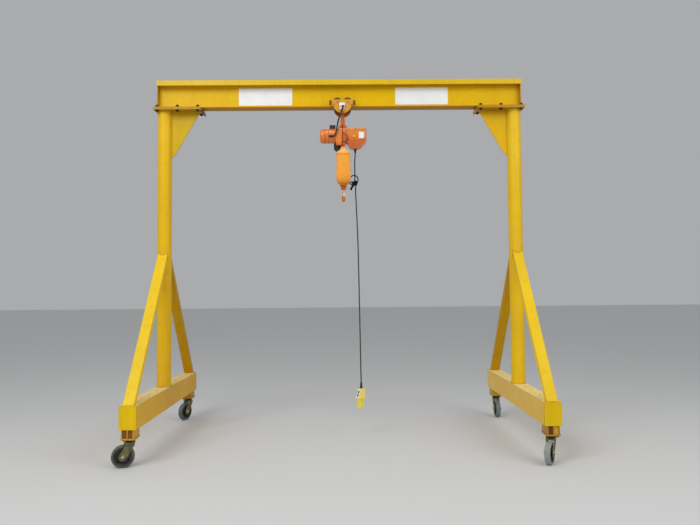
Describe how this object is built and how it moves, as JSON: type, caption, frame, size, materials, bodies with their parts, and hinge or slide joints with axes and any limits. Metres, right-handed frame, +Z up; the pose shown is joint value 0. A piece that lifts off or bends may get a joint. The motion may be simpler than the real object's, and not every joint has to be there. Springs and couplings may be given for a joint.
{
  "type": "gantry crane",
  "caption": "Rolling gantry crane: a capped I-beam on two braced legs with swivel casters, carrying a push trolley with a chain hoist, hook and push-button pendant.",
  "frame": {"origin": "on the floor, midway between the two legs and midway between the front and rear casters", "axes": "+X along the main beam to the right, +Y from front to back, +Z up"},
  "size_m": [3.8099, 2.1128, 3.6105],
  "materials": {
    "yellow_paint": "gloss enamel, scuffed",
    "bolt_steel": "dull zinc",
    "stop_paint": "dark paint",
    "caster_olive": "olive passivated steel",
    "wheel_core": "black painted casting",
    "tyre_rubber": "dusty grey rubber",
    "trolley_orange": "enamel",
    "bumper_rubber": "matte",
    "trolley_wheel_steel": "rolled tread",
    "hoist_orange": "gloss enamel",
    "hook_paint": "forged steel, painted",
    "latch_zinc": "zinc sheet",
    "black_plastic": "moulded",
    "bag_fabric": "coated fabric",
    "chain_steel": "zinc-plated links",
    "cable_rubber": "matte sheath",
    "pendant_yellow": "moulded",
    "white_film": "bare printed film",
    "button_grey": "moulded"
  },
  "bodies": {
    "gantry": {"main_beam": "yellow_paint", "beam_cap_channel": "yellow_paint", "beam_end_plates": "yellow_paint", "seat_plates": "yellow_paint", "leg_top_plates": "yellow_paint", "knee_gussets": "yellow_paint", "joint_bolts": "bolt_steel", "end_stops": "stop_paint", "column_left": "yellow_paint", "column_right": "yellow_paint", "base_beam_left": "yellow_paint", "base_beam_right": "yellow_paint", "base_end_caps": "yellow_paint", "struts_left": "yellow_paint", "struts_right": "yellow_paint", "caster_stubs": "yellow_paint", "caster_plates": "caster_olive"},
    "caster_front_left": {"caster_fork_front_left": "caster_olive"},
    "caster_roller_front_left": {"caster_wheel_front_left": "wheel_core", "caster_tyre_front_left": "tyre_rubber"},
    "caster_front_right": {"caster_fork_front_right": "caster_olive"},
    "caster_roller_front_right": {"caster_wheel_front_right": "wheel_core", "caster_tyre_front_right": "tyre_rubber"},
    "caster_rear_left": {"caster_fork_rear_left": "caster_olive"},
    "caster_roller_rear_left": {"caster_wheel_rear_left": "wheel_core", "caster_tyre_rear_left": "tyre_rubber"},
    "caster_rear_right": {"caster_fork_rear_right": "caster_olive"},
    "caster_roller_rear_right": {"caster_wheel_rear_right": "wheel_core", "caster_tyre_rear_right": "tyre_rubber"},
    "trolley": {"trolley_plate_front": "trolley_orange", "trolley_plate_rear": "trolley_orange", "trolley_bumpers": "bumper_rubber", "trolley_load_bolt": "bolt_steel", "hoist_lug": "hoist_orange", "hoist_gear_case": "hoist_orange", "hoist_motor": "hoist_orange", "hoist_control_box": "hoist_orange", "hoist_inlet": "black_plastic", "chain_guide": "black_plastic", "chain_bag": "bag_fabric", "load_chain": "chain_steel", "hook_block": "hoist_orange", "link_cable": "cable_rubber", "pendant_cable": "cable_rubber", "pendant_boot": "cable_rubber", "pendant_body": "pendant_yellow", "pendant_buttons": "button_grey"},
    "trolley_wheel_front_left": {"trolley_wheel_front_left": "trolley_wheel_steel"},
    "trolley_wheel_front_right": {"trolley_wheel_front_right": "trolley_wheel_steel"},
    "trolley_wheel_rear_left": {"trolley_wheel_rear_left": "trolley_wheel_steel"},
    "trolley_wheel_rear_right": {"trolley_wheel_rear_right": "trolley_wheel_steel"},
    "hook": {"hook": "hook_paint"},
    "latch": {"hook_latch": "latch_zinc"}
  },
  "joints": [
    {"name": "caster_swivel_front_left", "type": "hinge", "parent": "gantry", "child": "caster_front_left", "pos_m": [-1.785, -0.95, 0.21], "axis": [0, 0, 1], "continuous": true},
    {"name": "caster_roll_front_left", "type": "hinge", "parent": "caster_front_left", "child": "caster_roller_front_left", "pos_m": [-1.83951, -0.96666, 0.095], "axis": [0.2924, -0.9563, 0], "continuous": true},
    {"name": "caster_swivel_front_right", "type": "hinge", "parent": "gantry", "child": "caster_front_right", "pos_m": [1.785, -0.95, 0.21], "axis": [0, 0, 1], "continuous": true},
    {"name": "caster_roll_front_right", "type": "hinge", "parent": "caster_front_right", "child": "caster_roller_front_right", "pos_m": [1.7548, -0.99834, 0.095], "axis": [0.848, -0.5299, 0], "continuous": true},
    {"name": "caster_swivel_rear_left", "type": "hinge", "parent": "gantry", "child": "caster_rear_left", "pos_m": [-1.785, 0.95, 0.21], "axis": [0, 0, 1], "continuous": true},
    {"name": "caster_roll_rear_left", "type": "hinge", "parent": "caster_rear_left", "child": "caster_roller_rear_left", "pos_m": [-1.80818, 0.89793, 0.095], "axis": [0.9135, -0.4067, 0], "continuous": true},
    {"name": "caster_swivel_rear_right", "type": "hinge", "parent": "gantry", "child": "caster_rear_right", "pos_m": [1.785, 0.95, 0.21], "axis": [0, 0, 1], "continuous": true},
    {"name": "caster_roll_rear_right", "type": "hinge", "parent": "caster_rear_right", "child": "caster_roller_rear_right", "pos_m": [1.78301, 0.89304, 0.095], "axis": [0.9994, -0.0349, 0], "continuous": true},
    {"name": "trolley_travel", "type": "slide", "parent": "gantry", "child": "trolley", "axis": [1, 0, 0], "range_m": [-1.305, 1.245]},
    {"name": "trolley_roll_front_left", "type": "hinge", "parent": "trolley", "child": "trolley_wheel_front_left", "pos_m": [-0.023, -0.05, 3.3831], "axis": [0, 1, 0], "continuous": true},
    {"name": "trolley_roll_front_right", "type": "hinge", "parent": "trolley", "child": "trolley_wheel_front_right", "pos_m": [0.083, -0.05, 3.3831], "axis": [0, 1, 0], "continuous": true},
    {"name": "trolley_roll_rear_left", "type": "hinge", "parent": "trolley", "child": "trolley_wheel_rear_left", "pos_m": [-0.023, 0.05, 3.3831], "axis": [0, 1, 0], "continuous": true},
    {"name": "trolley_roll_rear_right", "type": "hinge", "parent": "trolley", "child": "trolley_wheel_rear_right", "pos_m": [0.083, 0.05, 3.3831], "axis": [0, 1, 0], "continuous": true},
    {"name": "hook_swivel", "type": "hinge", "parent": "trolley", "child": "hook", "pos_m": [0.035, 0, 2.5184], "axis": [0, 0, 1], "continuous": true},
    {"name": "latch_hinge", "type": "hinge", "parent": "hook", "child": "latch", "pos_m": [0.037, -0.00346, 2.4684], "axis": [0.866, 0.5, 0], "range_deg": [0, 20], "stiffness_Nm_per_rad": 0.05, "springref_deg": -28.65}
  ],
  "couplings": [
    {"joint": "trolley_roll_front_left", "follows": "trolley_travel", "rad_per_m": 26.316},
    {"joint": "trolley_roll_front_right", "follows": "trolley_travel", "rad_per_m": 26.316},
    {"joint": "trolley_roll_rear_left", "follows": "trolley_travel", "rad_per_m": 26.316},
    {"joint": "trolley_roll_rear_right", "follows": "trolley_travel", "rad_per_m": 26.316}
  ]
}
